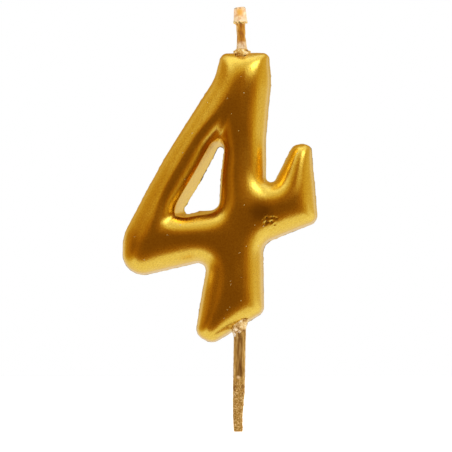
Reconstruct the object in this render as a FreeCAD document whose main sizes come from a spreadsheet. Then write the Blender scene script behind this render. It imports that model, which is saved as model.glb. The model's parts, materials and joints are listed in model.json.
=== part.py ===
import FreeCAD, Part
import math
import os

# A number birthday candle in the shape of a 4: moulded wax under a thin gold lacquer, a
# cotton wick on top and a square tapered pick below. Millimetres, +Z up, front towards -Y.
# The origin is on the pick's axis, where the pick leaves the wax.

OUTPUT_FOLDER = "parts"
DRAFT_SHARE = 0.12       # how far the moulded walls lean towards the crown before the round
HOLE_DRAFT_SHARE = 0.22
ROUND_ANGLES = (0, 18, 36, 52, 66, 79, 90)   # degrees round the front edge, one section each

DIMENSIONS = {
    "back_depth": 4.2,          # back face, behind the pick's axis
    "shoulder_depth": 1.6,      # where the front round starts, in front of the axis
    "crown_depth": 5.0,         # front face, in front of the axis
    "coat_thickness": 0.1,
    "wick_offset": 0.3,
    "wick_radius": 0.87,
    "core_bottom": 30.0,
    "core_top": 53.0,
    "hinge_height": 54.0,
    "wick_lean": 3.0,
    "tip_length": 6.8,
    "bead_top_radius": 1.08,
    "bead_skirt_radius": 1.35,
    "bead_bottom": 4.25,        # above the hinge
    "bead_top": 7.3,            # above the hinge
    "collar_radius": 1.7,
    "collar_top_radius": 1.15,
    "collar_height": 0.42,
    "collar_bore": 0.95,
    "pick_top": 12.0,
    "pick_side": 2.2,
    "pick_shoulder": 12.4,      # below the wax
    "pick_shoulder_side": 2.14,
    "pick_neck": 16.2,
    "pick_bottom": 19.6,
    "pick_neck_side": 1.76,
    "pick_tip_side": 1.6,
    "pick_edge_round": 0.2,
    "pick_turn": 7.0,
    "groove_width": 0.86,
    "groove_depth": 0.3,
    "groove_start": 1.9,
    "groove_length": 7.3,
    "glue_low_radius": 1.55,
    "glue_top_radius": 1.9,
    "glue_top": 2.6,
    "glue_bottom": 0.9,
}

# Corners of the numeral, clockwise from the top left as seen from the front. Each one is
# (x, z, radius at the back, x, z, radius at the crown of the front).
OUTER_CORNERS = (
    (-3.75, 52.9, 1.6, -0.2, 49.3, 0.5),
    (5.5, 53.0, 1.3, 1.9, 49.3, 0.5),
    (5.9, 47.5, 14.0, 2.0, 46.8, 6.0),
    (4.85, 36.0, 20.0, 1.0, 35.5, 12.0),
    (4.9, 27.9, 0.95, 1.2, 24.5, 2.6),
    (6.5, 28.2, 0.75, 9.2, 24.8, 2.4),
    (10.15, 35.45, 2.3, 11.3, 31.2, 0.2),
    (13.6, 35.3, 1.6, 11.8, 31.2, 0.2),
    (14.85, 20.4, 2.0, 10.9, 23.0, 0.4),
    (4.3, 16.2, 2.6, 0.6, 18.5, 3.6),
    (4.5, 3.0, 2.0, 0.6, 5.1, 0.5),
    (-5.4, -3.05, 2.4, -3.4, 2.6, 0.4),
    (-8.8, -1.3, 2.2, -4.0, 3.2, 0.4),
    (-6.35, 12.95, 1.5, -2.2, 17.1, 2.6),
    (-22.8, 9.1, 4.2, -18.2, 14.2, 0.7),
    (-22.75, 17.7, 8.0, -18.7, 16.9, 0.8),
    (-15.05, 32.2, 30.0, -11.2, 30.4, 20.0),
    (-5.1, 48.0, 12.0, -0.9, 46.6, 5.0),
)
HOLE_CORNERS = (
    (-3.15, 36.5, 0.5, 1.3, 49.8, 2.4),
    (-4.4, 23.1, 1.7, -1.8, 19.5, 4.6),
    (-11.3, 21.9, 0.7, -18.0, 16.7, 3.2),
)


def make_sheet(doc):
    sheet = doc.addObject("Spreadsheet::Sheet", "dims")
    for row, (alias, value) in enumerate(DIMENSIONS.items(), start=1):
        sheet.set(f"A{row}", alias)
        sheet.set(f"B{row}", str(value))
        sheet.setAlias(f"B{row}", alias)
    doc.recompute()
    return sheet


def bind(obj, **formulas):
    for name, formula in formulas.items():
        obj.setExpression(name.replace("__", "."), formula)


def origin_plane(body, role):
    return next(plane for plane in body.Origin.OriginFeatures if plane.Role == role)


def blended(corners, share):
    """The outline a given share of the way from the back to the crown."""
    return [
        (x + share * (cx - x), z + share * (cz - z), radius + share * (crown - radius))
        for x, z, radius, cx, cz, crown in corners
    ]


def turned_in(corners, distance):
    """The outline with every edge moved to the right of its direction by a distance."""
    moved = []
    for index, (x, z, radius) in enumerate(corners):
        here = FreeCAD.Vector(x, z, 0)
        before = FreeCAD.Vector(*corners[index - 1][:2], 0)
        after = FreeCAD.Vector(*corners[(index + 1) % len(corners)][:2], 0)
        along_in = (here - before).normalize()
        along_out = (after - here).normalize()
        normals = FreeCAD.Vector(along_in.y + along_out.y, -along_in.x - along_out.x, 0)
        shift = normals * (2 * distance / normals.Length**2)
        clockwise = along_in.cross(along_out).z < 0
        new_radius = radius - distance if clockwise else radius + distance
        moved.append((here.x + shift.x, here.y + shift.y, max(new_radius, 0.1)))
    return moved


def draw_outline(sketch, corners):
    """Lines joined by a tangent arc at each corner."""
    arcs = []
    for index, (x, z, radius) in enumerate(corners):
        here = FreeCAD.Vector(x, z, 0)
        back = (FreeCAD.Vector(*corners[index - 1][:2], 0) - here).normalize()
        ahead = (FreeCAD.Vector(*corners[(index + 1) % len(corners)][:2], 0) - here).normalize()
        half_angle = back.getAngle(ahead) / 2
        reach = radius / math.tan(half_angle)
        middle = (back + ahead).normalize() * (radius / math.sin(half_angle) - radius)
        arcs.append((here + back * reach, here + middle, here + ahead * reach))
    for index, (start, middle, end) in enumerate(arcs):
        sketch.addGeometry(Part.Arc(start, middle, end))
        next_start = arcs[(index + 1) % len(arcs)][0]
        sketch.addGeometry(Part.LineSegment(end, next_start))


def outline_sketch(body, name, corners, depth_formula):
    """An outline parallel to the front, at a depth in front of the pick's axis."""
    sketch = body.newObject("Sketcher::SketchObject", name)
    sketch.AttachmentSupport = [(origin_plane(body, "XZ_Plane"), "")]
    sketch.MapMode = "FlatFace"
    sketch.setExpression(".AttachmentOffset.Base.z", depth_formula)
    draw_outline(sketch, corners)
    return sketch


def add_loft(body, kind, name, sketches, ruled):
    loft = body.newObject(f"PartDesign::{kind}", name)
    loft.Profile = sketches[0]
    loft.Sections = sketches[1:]
    loft.Ruled = ruled
    return loft


def moulded_surface(body, kind, prefix, corners, draft_share, inset, skin):
    """A drafted wall from the back to the shoulder, then a quarter round to the crown."""
    back = turned_in(blended(corners, 0), inset)
    shoulder = turned_in(blended(corners, draft_share), inset)
    wall = [
        outline_sketch(body, f"{prefix}_back", back, f"{skin} - dims.back_depth"),
        outline_sketch(body, f"{prefix}_shoulder", shoulder, "dims.shoulder_depth"),
    ]
    add_loft(body, kind, f"{prefix}_wall", wall, True)
    sections = []
    for angle in ROUND_ANGLES:
        share = draft_share + (1 - draft_share) * (1 - math.cos(math.radians(angle)))
        section = turned_in(blended(corners, share), inset)
        depth = (
            "dims.shoulder_depth + (dims.crown_depth - dims.shoulder_depth"
            f" - {skin}) * sin({angle} deg)"
        )
        sections.append(outline_sketch(body, f"{prefix}_round_{angle}", section, depth))
    add_loft(body, kind, f"{prefix}_round", sections, False)


def make_numeral(doc, name, inset, skin):
    """The figure 4 as one solid; the inset and skin leave room for a coat round it."""
    body = doc.addObject("PartDesign::Body", name)
    moulded_surface(body, "AdditiveLoft", f"{name}_outer", OUTER_CORNERS, DRAFT_SHARE, inset, skin)
    moulded_surface(
        body, "SubtractiveLoft", f"{name}_hole", HOLE_CORNERS, HOLE_DRAFT_SHARE, -inset, skin
    )
    doc.recompute()
    return body


def add_cylinder(doc, name, radius, bottom, top):
    """A round bar on the wick's axis."""
    bar = doc.addObject("Part::Cylinder", name)
    bind(bar, Radius=radius, Height=f"{top} - ({bottom})", Placement__Base__x="dims.wick_offset")
    bar.setExpression("Placement.Base.z", bottom)
    return bar


def add_cone(doc, name, low_radius, high_radius, bottom, top, offset):
    cone = doc.addObject("Part::Cone", name)
    bind(cone, Radius1=low_radius, Radius2=high_radius, Height=f"{top} - ({bottom})")
    bind(cone, Placement__Base__x=offset, Placement__Base__z=bottom)
    return cone


def cut_away(doc, name, base, tools):
    """The base with each tool cut from it in turn; the last cut carries the name."""
    for index, tool in enumerate(tools):
        last = index == len(tools) - 1
        cut = doc.addObject("Part::Cut", name if last else f"{name}_cut_{index}")
        cut.Base = base
        cut.Tool = tool
        base = cut
    return base


def make_wick_core(doc):
    """The stretch of wick set in the wax."""
    return add_cylinder(doc, "wick_core", "dims.wick_radius", "dims.core_bottom", "dims.core_top")


def lean_with_wick(obj, height):
    """Stand an object on the hinge, leaning with the wick, at a height along it."""
    obj.setExpression("Placement.Rotation.Angle", "-dims.wick_lean")
    obj.Placement.Rotation = FreeCAD.Rotation(FreeCAD.Vector(0, 1, 0), -1)
    obj.setExpression("Placement.Base.x", f"dims.wick_offset - ({height}) * sin(dims.wick_lean * 1 deg)")
    obj.setExpression("Placement.Base.z", f"dims.hinge_height + ({height}) * cos(dims.wick_lean * 1 deg)")


def make_wick_tip(doc):
    """The free stretch of wick, round at its root so that it can bend there."""
    root = doc.addObject("Part::Sphere", "wick_root")
    bind(root, Radius="dims.wick_radius")
    lean_with_wick(root, "0")
    shank = doc.addObject("Part::Cylinder", "wick_shank")
    bind(shank, Radius="dims.wick_radius", Height="dims.tip_length")
    lean_with_wick(shank, "0")
    tip = doc.addObject("Part::Fuse", "wick_tip")
    tip.Base = root
    tip.Tool = shank
    return tip


def make_wick_bead(doc, wick_tip):
    """A cap of wax left on the end of the wick, flared at its lower rim."""
    body = doc.addObject("PartDesign::Body", "bead_drop")
    profile = body.newObject("Sketcher::SketchObject", "bead_profile")
    profile.AttachmentSupport = [(origin_plane(body, "XZ_Plane"), "")]
    profile.MapMode = "FlatFace"
    top_radius = DIMENSIONS["bead_top_radius"]
    skirt = DIMENSIONS["bead_skirt_radius"]
    low = DIMENSIONS["bead_bottom"]
    high = DIMENSIONS["bead_top"]
    edge = 0.15
    corners = (
        (0.0, low),
        (skirt - edge, low),
        (skirt, low + edge),
        (top_radius, high - edge),
        (top_radius - edge, high),
        (0.0, high),
    )
    for start, end in zip(corners, corners[1:] + corners[:1]):
        profile.addGeometry(
            Part.LineSegment(FreeCAD.Vector(*start, 0), FreeCAD.Vector(*end, 0))
        )
    turned = body.newObject("PartDesign::Revolution", "bead_turned")
    turned.Profile = profile
    turned.ReferenceAxis = (profile, ["V_Axis"])
    turned.Angle = 360
    lean_with_wick(body, "0")
    return cut_away(doc, "wick_bead", body, [wick_tip])


def make_collar(doc, numeral, bore):
    """The ring of wax drawn up round the wick where it leaves the numeral."""
    ring = add_cone(
        doc,
        "collar_ring",
        "dims.collar_radius",
        "dims.collar_top_radius",
        "dims.core_top - 0.3",
        "dims.core_top + dims.collar_height",
        "dims.wick_offset",
    )
    return cut_away(doc, "wick_collar", ring, [numeral, bore])


def square_sketch(body, name, side, height, shift):
    """A square across the pick at a height, its middle shifted from the axis."""
    sketch = body.newObject("Sketcher::SketchObject", name)
    sketch.AttachmentSupport = [(origin_plane(body, "XY_Plane"), "")]
    sketch.MapMode = "FlatFace"
    sketch.setExpression(".AttachmentOffset.Base.z", height)
    half = DIMENSIONS[side] / 2
    corners = [(-half, half), (half, half), (half, -half), (-half, -half)]
    edge_round = DIMENSIONS["pick_edge_round"]
    draw_outline(sketch, [(x + shift, y, edge_round) for x, y in corners])
    return sketch


def make_pick(doc):
    """A square pick, narrower towards its blunt end, with a groove in its front."""
    body = doc.addObject("PartDesign::Body", "pick_blank")
    sections = [
        square_sketch(body, "pick_low_end", "pick_tip_side", "-dims.pick_bottom", -0.4),
        square_sketch(body, "pick_neck_end", "pick_neck_side", "-dims.pick_neck", -0.46),
        square_sketch(body, "pick_shoulder_end", "pick_shoulder_side", "-dims.pick_shoulder", -0.28),
        square_sketch(body, "pick_wax_end", "pick_side", "0", -0.05),
        square_sketch(body, "pick_high_end", "pick_side", "dims.pick_top", 0),
    ]
    add_loft(body, "AdditiveLoft", "pick_taper", sections, True)
    groove = doc.addObject("Part::Box", "pick_groove")
    bind(groove, Length="dims.groove_width", Width="dims.pick_side", Height="dims.groove_length")
    bind(
        groove,
        Placement__Base__x="-dims.groove_width / 2 - 0.12",
        Placement__Base__y="-dims.pick_side * 1.5 + dims.groove_depth",
        Placement__Base__z="-dims.groove_start - dims.groove_length",
    )
    pick = cut_away(doc, "pick", body, [groove])
    pick.Placement.Rotation = FreeCAD.Rotation(FreeCAD.Vector(0, 0, 1), 1)
    pick.setExpression("Placement.Rotation.Angle", "dims.pick_turn")
    return pick


def make_glue(doc, numeral, pick):
    """The bead of melted wax that holds the pick in its socket."""
    bead = add_cone(
        doc,
        "glue_cone",
        "dims.glue_low_radius",
        "dims.glue_top_radius",
        "-dims.glue_bottom",
        "dims.glue_top",
        "0",
    )
    return cut_away(doc, "pick_bead", bead, [numeral, pick])


def check_and_export(doc, parts):
    """Refuse a failed document, then write one STEP file for each part."""
    for obj in doc.Objects:
        if "Invalid" in obj.State or "Error" in obj.State:
            raise RuntimeError(f"{obj.Name} failed: {obj.State}")
    os.makedirs(OUTPUT_FOLDER, exist_ok=True)
    for part in parts:
        shape = part.Shape
        if shape.isNull() or not shape.isValid() or not shape.Solids:
            raise RuntimeError(f"{part.Label} has no valid solid")
        shape.exportStep(f"{OUTPUT_FOLDER}/{part.Label}.step")
        print(part.Label, len(shape.Solids), round(shape.Volume, 3))


def build():
    doc = FreeCAD.newDocument("number_candle")
    make_sheet(doc)
    numeral = make_numeral(doc, "numeral", 0, "0")
    core_shape = make_numeral(doc, "wax_core", DIMENSIONS["coat_thickness"], "dims.coat_thickness")
    wick_core = make_wick_core(doc)
    wick_bore = add_cylinder(
        doc, "wick_bore", "dims.wick_radius", "dims.core_bottom", "dims.core_top + 2"
    )
    pick = make_pick(doc)
    wick_tip = make_wick_tip(doc)
    collar_bore = add_cylinder(
        doc, "collar_bore_tool", "dims.collar_bore", "dims.core_top - 2", "dims.core_top + 2"
    )
    parts = [
        cut_away(doc, "wax_body", core_shape, [wick_bore, pick]),
        cut_away(doc, "lacquer_coat", numeral, [core_shape, wick_bore, pick]),
        wick_core,
        wick_tip,
        make_wick_bead(doc, wick_tip),
        make_collar(doc, numeral, collar_bore),
        pick,
        make_glue(doc, numeral, pick),
    ]
    doc.recompute()
    check_and_export(doc, parts)


build()
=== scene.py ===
import json
import math

import bpy
import numpy as np
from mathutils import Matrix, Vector


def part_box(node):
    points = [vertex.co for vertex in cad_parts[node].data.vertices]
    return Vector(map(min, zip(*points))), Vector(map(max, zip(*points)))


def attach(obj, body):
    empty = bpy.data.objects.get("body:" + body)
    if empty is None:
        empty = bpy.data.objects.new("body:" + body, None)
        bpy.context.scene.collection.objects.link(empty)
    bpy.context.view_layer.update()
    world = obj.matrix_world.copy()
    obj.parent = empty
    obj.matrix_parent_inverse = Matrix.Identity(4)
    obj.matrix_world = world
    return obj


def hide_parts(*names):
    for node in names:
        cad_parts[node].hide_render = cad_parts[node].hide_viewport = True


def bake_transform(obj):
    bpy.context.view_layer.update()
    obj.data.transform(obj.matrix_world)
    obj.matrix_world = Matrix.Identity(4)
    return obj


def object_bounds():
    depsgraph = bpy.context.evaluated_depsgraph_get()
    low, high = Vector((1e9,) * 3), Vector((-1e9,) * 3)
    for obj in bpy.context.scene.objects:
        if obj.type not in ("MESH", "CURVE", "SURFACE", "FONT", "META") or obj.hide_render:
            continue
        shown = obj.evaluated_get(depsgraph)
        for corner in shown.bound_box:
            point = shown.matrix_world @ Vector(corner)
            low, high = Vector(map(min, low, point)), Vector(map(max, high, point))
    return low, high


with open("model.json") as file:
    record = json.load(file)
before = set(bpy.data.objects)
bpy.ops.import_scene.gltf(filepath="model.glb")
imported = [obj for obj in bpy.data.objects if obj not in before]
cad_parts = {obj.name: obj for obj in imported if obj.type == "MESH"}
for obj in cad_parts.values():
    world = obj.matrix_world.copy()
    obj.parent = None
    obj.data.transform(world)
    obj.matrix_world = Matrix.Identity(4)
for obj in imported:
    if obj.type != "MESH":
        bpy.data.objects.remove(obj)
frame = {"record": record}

CAD_BOX = [list(corner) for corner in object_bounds()]
MM = 0.001

# ---------------------------------------------------------------------------------------
# The numeral's two outlines, in millimetres: x, z and radius of each corner of the back
# edge, clockwise from the top as seen from the front. part.py has the same corners.
# ---------------------------------------------------------------------------------------
OUTER_CORNERS = (
    (-3.75, 52.9, 1.6),
    (5.5, 53.0, 1.3),
    (5.9, 47.5, 14.0),
    (4.85, 36.0, 20.0),
    (4.9, 27.9, 0.95),
    (6.5, 28.2, 0.75),
    (10.15, 35.45, 2.3),
    (13.6, 35.3, 1.6),
    (14.85, 20.4, 2.0),
    (4.3, 16.2, 2.6),
    (4.5, 3.0, 2.0),
    (-5.4, -3.05, 2.4),
    (-8.8, -1.3, 2.2),
    (-6.35, 12.95, 1.5),
    (-22.8, 9.1, 4.2),
    (-22.75, 17.7, 8.0),
    (-15.05, 32.2, 30.0),
    (-5.1, 48.0, 12.0),
)
HOLE_CORNERS = (
    (-3.15, 36.5, 0.5),
    (-4.4, 23.1, 1.7),
    (-11.3, 21.9, 0.7),
)

# ---------------------------------------------------------------------------------------
# The moulded numeral, in millimetres
# ---------------------------------------------------------------------------------------
CELL = 0.215             # the grid on which its surface is worked out
MARGIN = 1.0             # empty grid round the numeral
BACK_Y = 4.2
FRONT_Y = -5.0
OUTER_SHOULDER = 1.0     # y where the wall turns into the front round
HOLE_SHOULDER = 0.5
OUTER_REACH = 6.6        # how far in from the edge the front rounds off
HOLE_REACH = 5.4
HOLE_EDGE = 0.50         # left off the round at the hole, so its rim is a crisper edge
HOLE_INFLUENCE = 1.2     # how gradually the hole's values turn into the outer edge's
OUTER_DRAFT = math.tan(math.radians(4.5))
HOLE_DRAFT = math.tan(math.radians(9.5))
HOLE_SLANT = math.tan(math.radians(5.5))   # the hole leans, so its left wall shows
SMOOTHING = 1.5          # how widely the crest of a stroke is rounded
SMOOTHING_ROUNDS = 420
EDGE_CELLS = 1.6         # cells next to the edge that keep their true depth
VALLEY_LIFT = 0.45       # how far a valley past the hole's corner starts above its slopes
VALLEY_FADE = 0.45       # and how much more for each millimetre away from the corner
VALLEY_ROUND = 0.9       # how softly a valley meets its slopes
FLASH_PITCH = 1.1        # the ragged lip that the mould leaves round the back edge
FLASH_LEAST = 0.02
FLASH_UNEVEN = 0.08
FLASH_BEHIND = 0.12      # from the back face to the middle of the lip
FLASH_SPREAD = 0.22
WANDER_PITCH = 7.0       # slow unevenness of the walls
WANDER = 0.03
RELAX_ROUNDS = 12
RELAX_STEPS = (0.5, -0.52)   # in and then out again, so the shape doesn't shrink
FLAT_CELLS = 0.6         # cells from the back plane within which a point stays on it
PIT_CENTRE = np.array((5.6, 20.4))   # x, z of the cluster of casting pits in front
PIT_SPREAD = np.array((0.85, 0.9))
PIT_COUNT = 26


def rounded_outline(corners, arc_steps=14):
    """The outline as points: straight runs joined by tangent arcs."""
    points = []
    count = len(corners)
    for index, (x, z, radius) in enumerate(corners):
        here = np.array((x, z))
        back = np.array(corners[index - 1][:2]) - here
        ahead = np.array(corners[(index + 1) % count][:2]) - here
        back /= np.linalg.norm(back)
        ahead /= np.linalg.norm(ahead)
        half = math.acos(float(np.clip(back @ ahead, -1, 1))) / 2
        reach = radius / math.tan(half)
        middle = back + ahead
        middle /= np.linalg.norm(middle)
        centre = here + middle * radius / math.sin(half)
        first = here + back * reach - centre
        last = here + ahead * reach - centre
        sweep = math.atan2(first[0] * last[1] - first[1] * last[0], first @ last)
        for step in range(arc_steps + 1):
            cosine = math.cos(sweep * step / arc_steps)
            sine = math.sin(sweep * step / arc_steps)
            points.append(
                centre
                + (first[0] * cosine - first[1] * sine, first[0] * sine + first[1] * cosine)
            )
    return np.array(points)


def signed_distance(points, xs, zs):
    """Distance in from a closed outline, positive inside, on a grid of xs by zs."""
    gx, gz = np.meshgrid(xs, zs, indexing="ij")
    best = np.full(gx.shape, 1e9)
    inside = np.zeros(gx.shape, bool)
    for (ax, az), (bx, bz) in zip(points, np.roll(points, -1, axis=0)):
        dx, dz = bx - ax, bz - az
        length = dx * dx + dz * dz
        if length < 1e-12:
            continue
        t = np.clip(((gx - ax) * dx + (gz - az) * dz) / length, 0, 1)
        best = np.minimum(best, (gx - ax - t * dx) ** 2 + (gz - az - t * dz) ** 2)
        if az != bz:
            crosses = (az > gz) != (bz > gz)
            inside ^= crosses & (gx < ax + (gz - az) * dx / dz)
    return np.where(inside, 1, -1) * np.sqrt(best)


def smooth_depth(distance, width):
    """The distance in from the edge, with its ridges rounded over a width, by relaxation."""
    share = (width / CELL) ** 2
    edge = distance < EDGE_CELLS * CELL
    value = 1 - np.exp(-distance / width)
    fixed = value.copy()
    for _ in range(SMOOTHING_ROUNDS):
        beside = (
            np.roll(value, 1, 0) + np.roll(value, -1, 0) + np.roll(value, 1, 1) + np.roll(value, -1, 1)
        )
        value = np.where(edge, fixed, (1 + share * beside) / (1 + 4 * share))
    return -width * np.log(np.clip(1 - value, 1e-9, None))


def hole_valleys(gx, gz):
    """Depth in from the hole's edges, carried on straight past the corners where they meet."""
    corners = np.array(HOLE_CORNERS)[:, :2]
    depths = []
    away = np.full(gx.shape, np.inf)
    for start, end in zip(corners, np.roll(corners, -1, axis=0)):
        along = (end - start) / np.linalg.norm(end - start)
        depths.append((gz - start[1]) * along[0] - (gx - start[0]) * along[1])
        away = np.minimum(away, np.hypot(gx - start[0], gz - start[1]))
    deeper = VALLEY_ROUND * np.logaddexp.reduce([depth / VALLEY_ROUND for depth in depths])
    return deeper + VALLEY_LIFT + VALLEY_FADE * away


def soft_least(a, b):
    """The lesser of two depths, blended where they are nearly equal."""
    return -VALLEY_ROUND * np.logaddexp(-a / VALLEY_ROUND, -b / VALLEY_ROUND)


def sampled(grid, xs, wanted):
    """Rows of a grid read at shifted x places, by straight-line interpolation."""
    place = np.clip((wanted - xs[0]) / CELL, 0, len(xs) - 1.001)
    low = place.astype(int)
    share = place - low
    column = np.arange(grid.shape[1])[None, :]
    return grid[low, column] * (1 - share) + grid[low + 1, column] * share


def ripple(gx, gz, scale, seed, terms=7):
    """A smooth uneven pattern from a few sines, about -1 to 1."""
    rng = np.random.default_rng(seed)
    total = 0.0
    for _ in range(terms):
        angle = rng.uniform(0, 2 * math.pi)
        pitch = scale * rng.uniform(0.6, 1.8)
        phase = rng.uniform(0, 2 * math.pi)
        total += np.sin((gx * math.cos(angle) + gz * math.sin(angle)) * 2 * math.pi / pitch + phase)
    return total / math.sqrt(terms)


def solid_ripple(x, y, z, scale, seed, terms=12):
    """The same kind of pattern through a solid, so it has no seam round a piece."""
    rng = np.random.default_rng(seed)
    total = 0.0
    for _ in range(terms):
        way = rng.normal(size=3)
        way /= np.linalg.norm(way) * scale * rng.uniform(0.6, 1.8)
        phase = rng.uniform(0, 2 * math.pi)
        total = total + np.sin((x * way[0] + y * way[1] + z * way[2]) * 2 * math.pi + phase)
    return total / math.sqrt(terms)


def numeral_field():
    """Grid coordinates and a field that is positive in the wax and zero on its surface."""
    outer = rounded_outline(OUTER_CORNERS)
    hole = rounded_outline(HOLE_CORNERS)
    xs = np.arange(outer[:, 0].min() - MARGIN, outer[:, 0].max() + MARGIN, CELL)
    zs = np.arange(outer[:, 1].min() - MARGIN, outer[:, 1].max() + MARGIN, CELL)
    ys = np.arange(FRONT_Y - MARGIN, BACK_Y + MARGIN, CELL)
    gx, gz = np.meshgrid(xs, zs, indexing="ij")
    from_outer = signed_distance(outer, xs, zs)
    from_hole = -signed_distance(hole, xs, zs)
    edge_distance = np.minimum(from_outer, from_hole)
    depth = smooth_depth(edge_distance, SMOOTHING)
    depth = soft_least(depth, hole_valleys(gx, gz))
    near_hole = np.exp(-from_hole / HOLE_INFLUENCE)
    near_outer = np.exp(-np.abs(from_outer) / HOLE_INFLUENCE)
    nearness = near_hole / (near_hole + near_outer)
    draft = OUTER_DRAFT + (HOLE_DRAFT - OUTER_DRAFT) * nearness
    ragged = np.clip(ripple(gx, gz, FLASH_PITCH, seed=4) * 0.5 + 0.5, 0, 1)
    flash = ragged ** 2 * FLASH_UNEVEN + FLASH_LEAST
    wander = ripple(gx, gz, WANDER_PITCH, seed=9) * WANDER
    shoulder = OUTER_SHOULDER + (HOLE_SHOULDER - OUTER_SHOULDER) * nearness
    reach = OUTER_REACH + (HOLE_REACH - OUTER_REACH) * nearness
    layers = []
    for y in ys:
        behind = BACK_Y - y
        lip = flash * (1 + nearness) * math.exp(-((behind - FLASH_BEHIND) / FLASH_SPREAD) ** 2)
        slanted = sampled(depth, xs, gx + nearness * HOLE_SLANT * behind)
        inward = slanted - draft * behind + lip + wander
        side = np.clip((reach - inward - HOLE_EDGE * nearness) / reach, 0, None)
        front = np.clip((shoulder - y) / (shoulder - FRONT_Y), 0, None)
        rounded = (1 - np.hypot(side, front)) * reach
        layers.append(np.minimum(np.minimum(rounded, inward), behind))
    return xs, ys, zs, np.stack(layers, axis=1)


def surface_net(xs, ys, zs, field):
    """A smooth quad mesh of the field's zero surface, one point in each cell it crosses."""
    inside = field > 0
    corner_count = sum(
        inside[i : i - 1 or None, j : j - 1 or None, k : k - 1 or None].astype(np.int8)
        for i in (0, 1)
        for j in (0, 1)
        for k in (0, 1)
    )
    crossed = (corner_count > 0) & (corner_count < 8)
    index = np.full(crossed.shape, -1, np.int64)
    index[crossed] = np.arange(int(crossed.sum()))
    crossings = np.argwhere(crossed)
    total = np.zeros((len(crossings), 3))
    weight = np.zeros(len(crossings))
    for axis in range(3):
        others = [a for a in range(3) if a != axis]
        for first in (0, 1):
            for second in (0, 1):
                low = crossings.copy()
                low[:, others[0]] += first
                low[:, others[1]] += second
                high = low.copy()
                high[:, axis] += 1
                a = field[tuple(low.T)]
                b = field[tuple(high.T)]
                hit = (a > 0) != (b > 0)
                t = np.where(hit, a / np.where(hit, a - b, 1), 0)
                place = low.astype(float)
                place[:, axis] += t
                total += place * hit[:, None]
                weight += hit
    total /= weight[:, None]
    origin = np.array((xs[0], ys[0], zs[0]))
    verts = origin + total * CELL
    quads = []
    for axis in range(3):
        shifted = np.roll(inside, -1, axis)
        change = inside != shifted
        trim = [slice(None)] * 3
        trim[axis] = slice(0, -1)
        edges = np.argwhere(change[tuple(trim)])
        u, v = [a for a in range(3) if a != axis]
        edges = edges[(edges[:, u] > 0) & (edges[:, v] > 0)]
        ring = []
        for du, dv in ((0, 0), (-1, 0), (-1, -1), (0, -1)):
            cell = edges.copy()
            cell[:, u] += du
            cell[:, v] += dv
            ring.append(index[tuple(cell.T)])
        ring = np.stack(ring, axis=1)
        outwards = inside[tuple(edges.T)]
        if axis == 1:
            outwards = ~outwards
        quads.append(np.where(outwards[:, None], ring, ring[:, ::-1]))
    return verts, np.concatenate(quads)


def mesh_object(name, verts, faces):
    """A smooth-shaded object from points in metres and faces."""
    mesh = bpy.data.meshes.new(name)
    mesh.from_pydata([tuple(v) for v in verts], [], [tuple(int(i) for i in f) for f in faces])
    mesh.update()
    mesh.polygons.foreach_set("use_smooth", [True] * len(mesh.polygons))
    obj = bpy.data.objects.new(name, mesh)
    bpy.context.scene.collection.objects.link(obj)
    return obj


def relaxed(verts, faces):
    """Even out the grid's small steps; points on the flat back stay in their plane."""
    count = len(verts)
    a = faces.ravel()
    b = np.roll(faces, -1, axis=1).ravel()
    links = np.bincount(a, minlength=count) + np.bincount(b, minlength=count)
    verts = verts.copy()
    flat = np.abs(verts[:, 1] - BACK_Y) < CELL * FLAT_CELLS
    for step in range(RELAX_ROUNDS):
        factor = RELAX_STEPS[step % 2]
        total = np.zeros_like(verts)
        for axis in range(3):
            total[:, axis] = np.bincount(a, verts[b, axis], count) + np.bincount(b, verts[a, axis], count)
        moved = verts + factor * (total / links[:, None] - verts)
        moved[flat, 1] = verts[flat, 1]
        verts = moved
    return verts


# ---------------------------------------------------------------------------------------
# Small pieces, each a stack of rings, in millimetres until lathe_object
# ---------------------------------------------------------------------------------------
def lathe_object(name, rings):
    """A closed solid from rings of points, with a fan over each end."""
    count = rings.shape[1]
    verts = np.concatenate([rings.reshape(-1, 3), rings[0].mean(0)[None], rings[-1].mean(0)[None]])
    faces = []
    for ring in range(len(rings) - 1):
        for step in range(count):
            after = (step + 1) % count
            low, high = ring * count, (ring + 1) * count
            faces.append((low + step, low + after, high + after, high + step))
    first_hub, last_hub = len(verts) - 2, len(verts) - 1
    last_ring = (len(rings) - 1) * count
    for step in range(count):
        after = (step + 1) % count
        faces.append((first_hub, after, step))
        faces.append((last_hub, last_ring + step, last_ring + after))
    return mesh_object(name, verts * MM, faces)


def along_profile(profile, count):
    """Points evenly spaced along a profile of (radius, height) corners."""
    corners = np.array(profile)
    lengths = np.hypot(*np.diff(corners, axis=0).T)
    travel = np.concatenate([[0], np.cumsum(lengths)])
    wanted = np.linspace(0, travel[-1], count)
    radii = np.interp(wanted, travel, corners[:, 0])
    heights = np.interp(wanted, travel, corners[:, 1])
    return radii[:, None], heights[:, None]


HINGE = np.array(frame["record"]["behaviour"]["joints"][0]["pos_m"]) / MM
WICK_LEAN = math.radians(3.0)    # towards -X, as in part.py
WICK_THREADS = 4                 # threads wound each way in the braid
WICK_AROUND = 64                 # points in each ring
WICK_RING_STEP = 0.08
WICK_HIDDEN_RINGS = 12           # wide apart, inside the wax
WICK_HIDDEN_TO = 1.2             # they end this far below the core's top
WICK_CLOSE_FROM = 1.0
WICK_UNEVEN = 0.02
WICK_END_DEPTH = 0.5             # the wick ends this far under the top of its cap
BRAID_TURN = 0.66                # radians for each millimetre
BRAID_OFFSET = 0.4               # radians between the two ways of winding
BRAID_RELIEF = 0.045
FOOT_SWELL = 0.26                # the wick is thicker where it leaves the wax
FOOT_RISE = 0.3
FOOT_SPREAD = 0.75
NECK_SWELL = 0.20                # and where it enters the cap
NECK_SPREAD = 0.28
CAP_AROUND = 72
CAP_ALONG = 64
CAP_LUMPS = 0.028
CAP_SQUARENESS = 0.035
CAP_RIM_OUT = 0.07               # how far the cap's lower rim is ragged sideways
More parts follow.
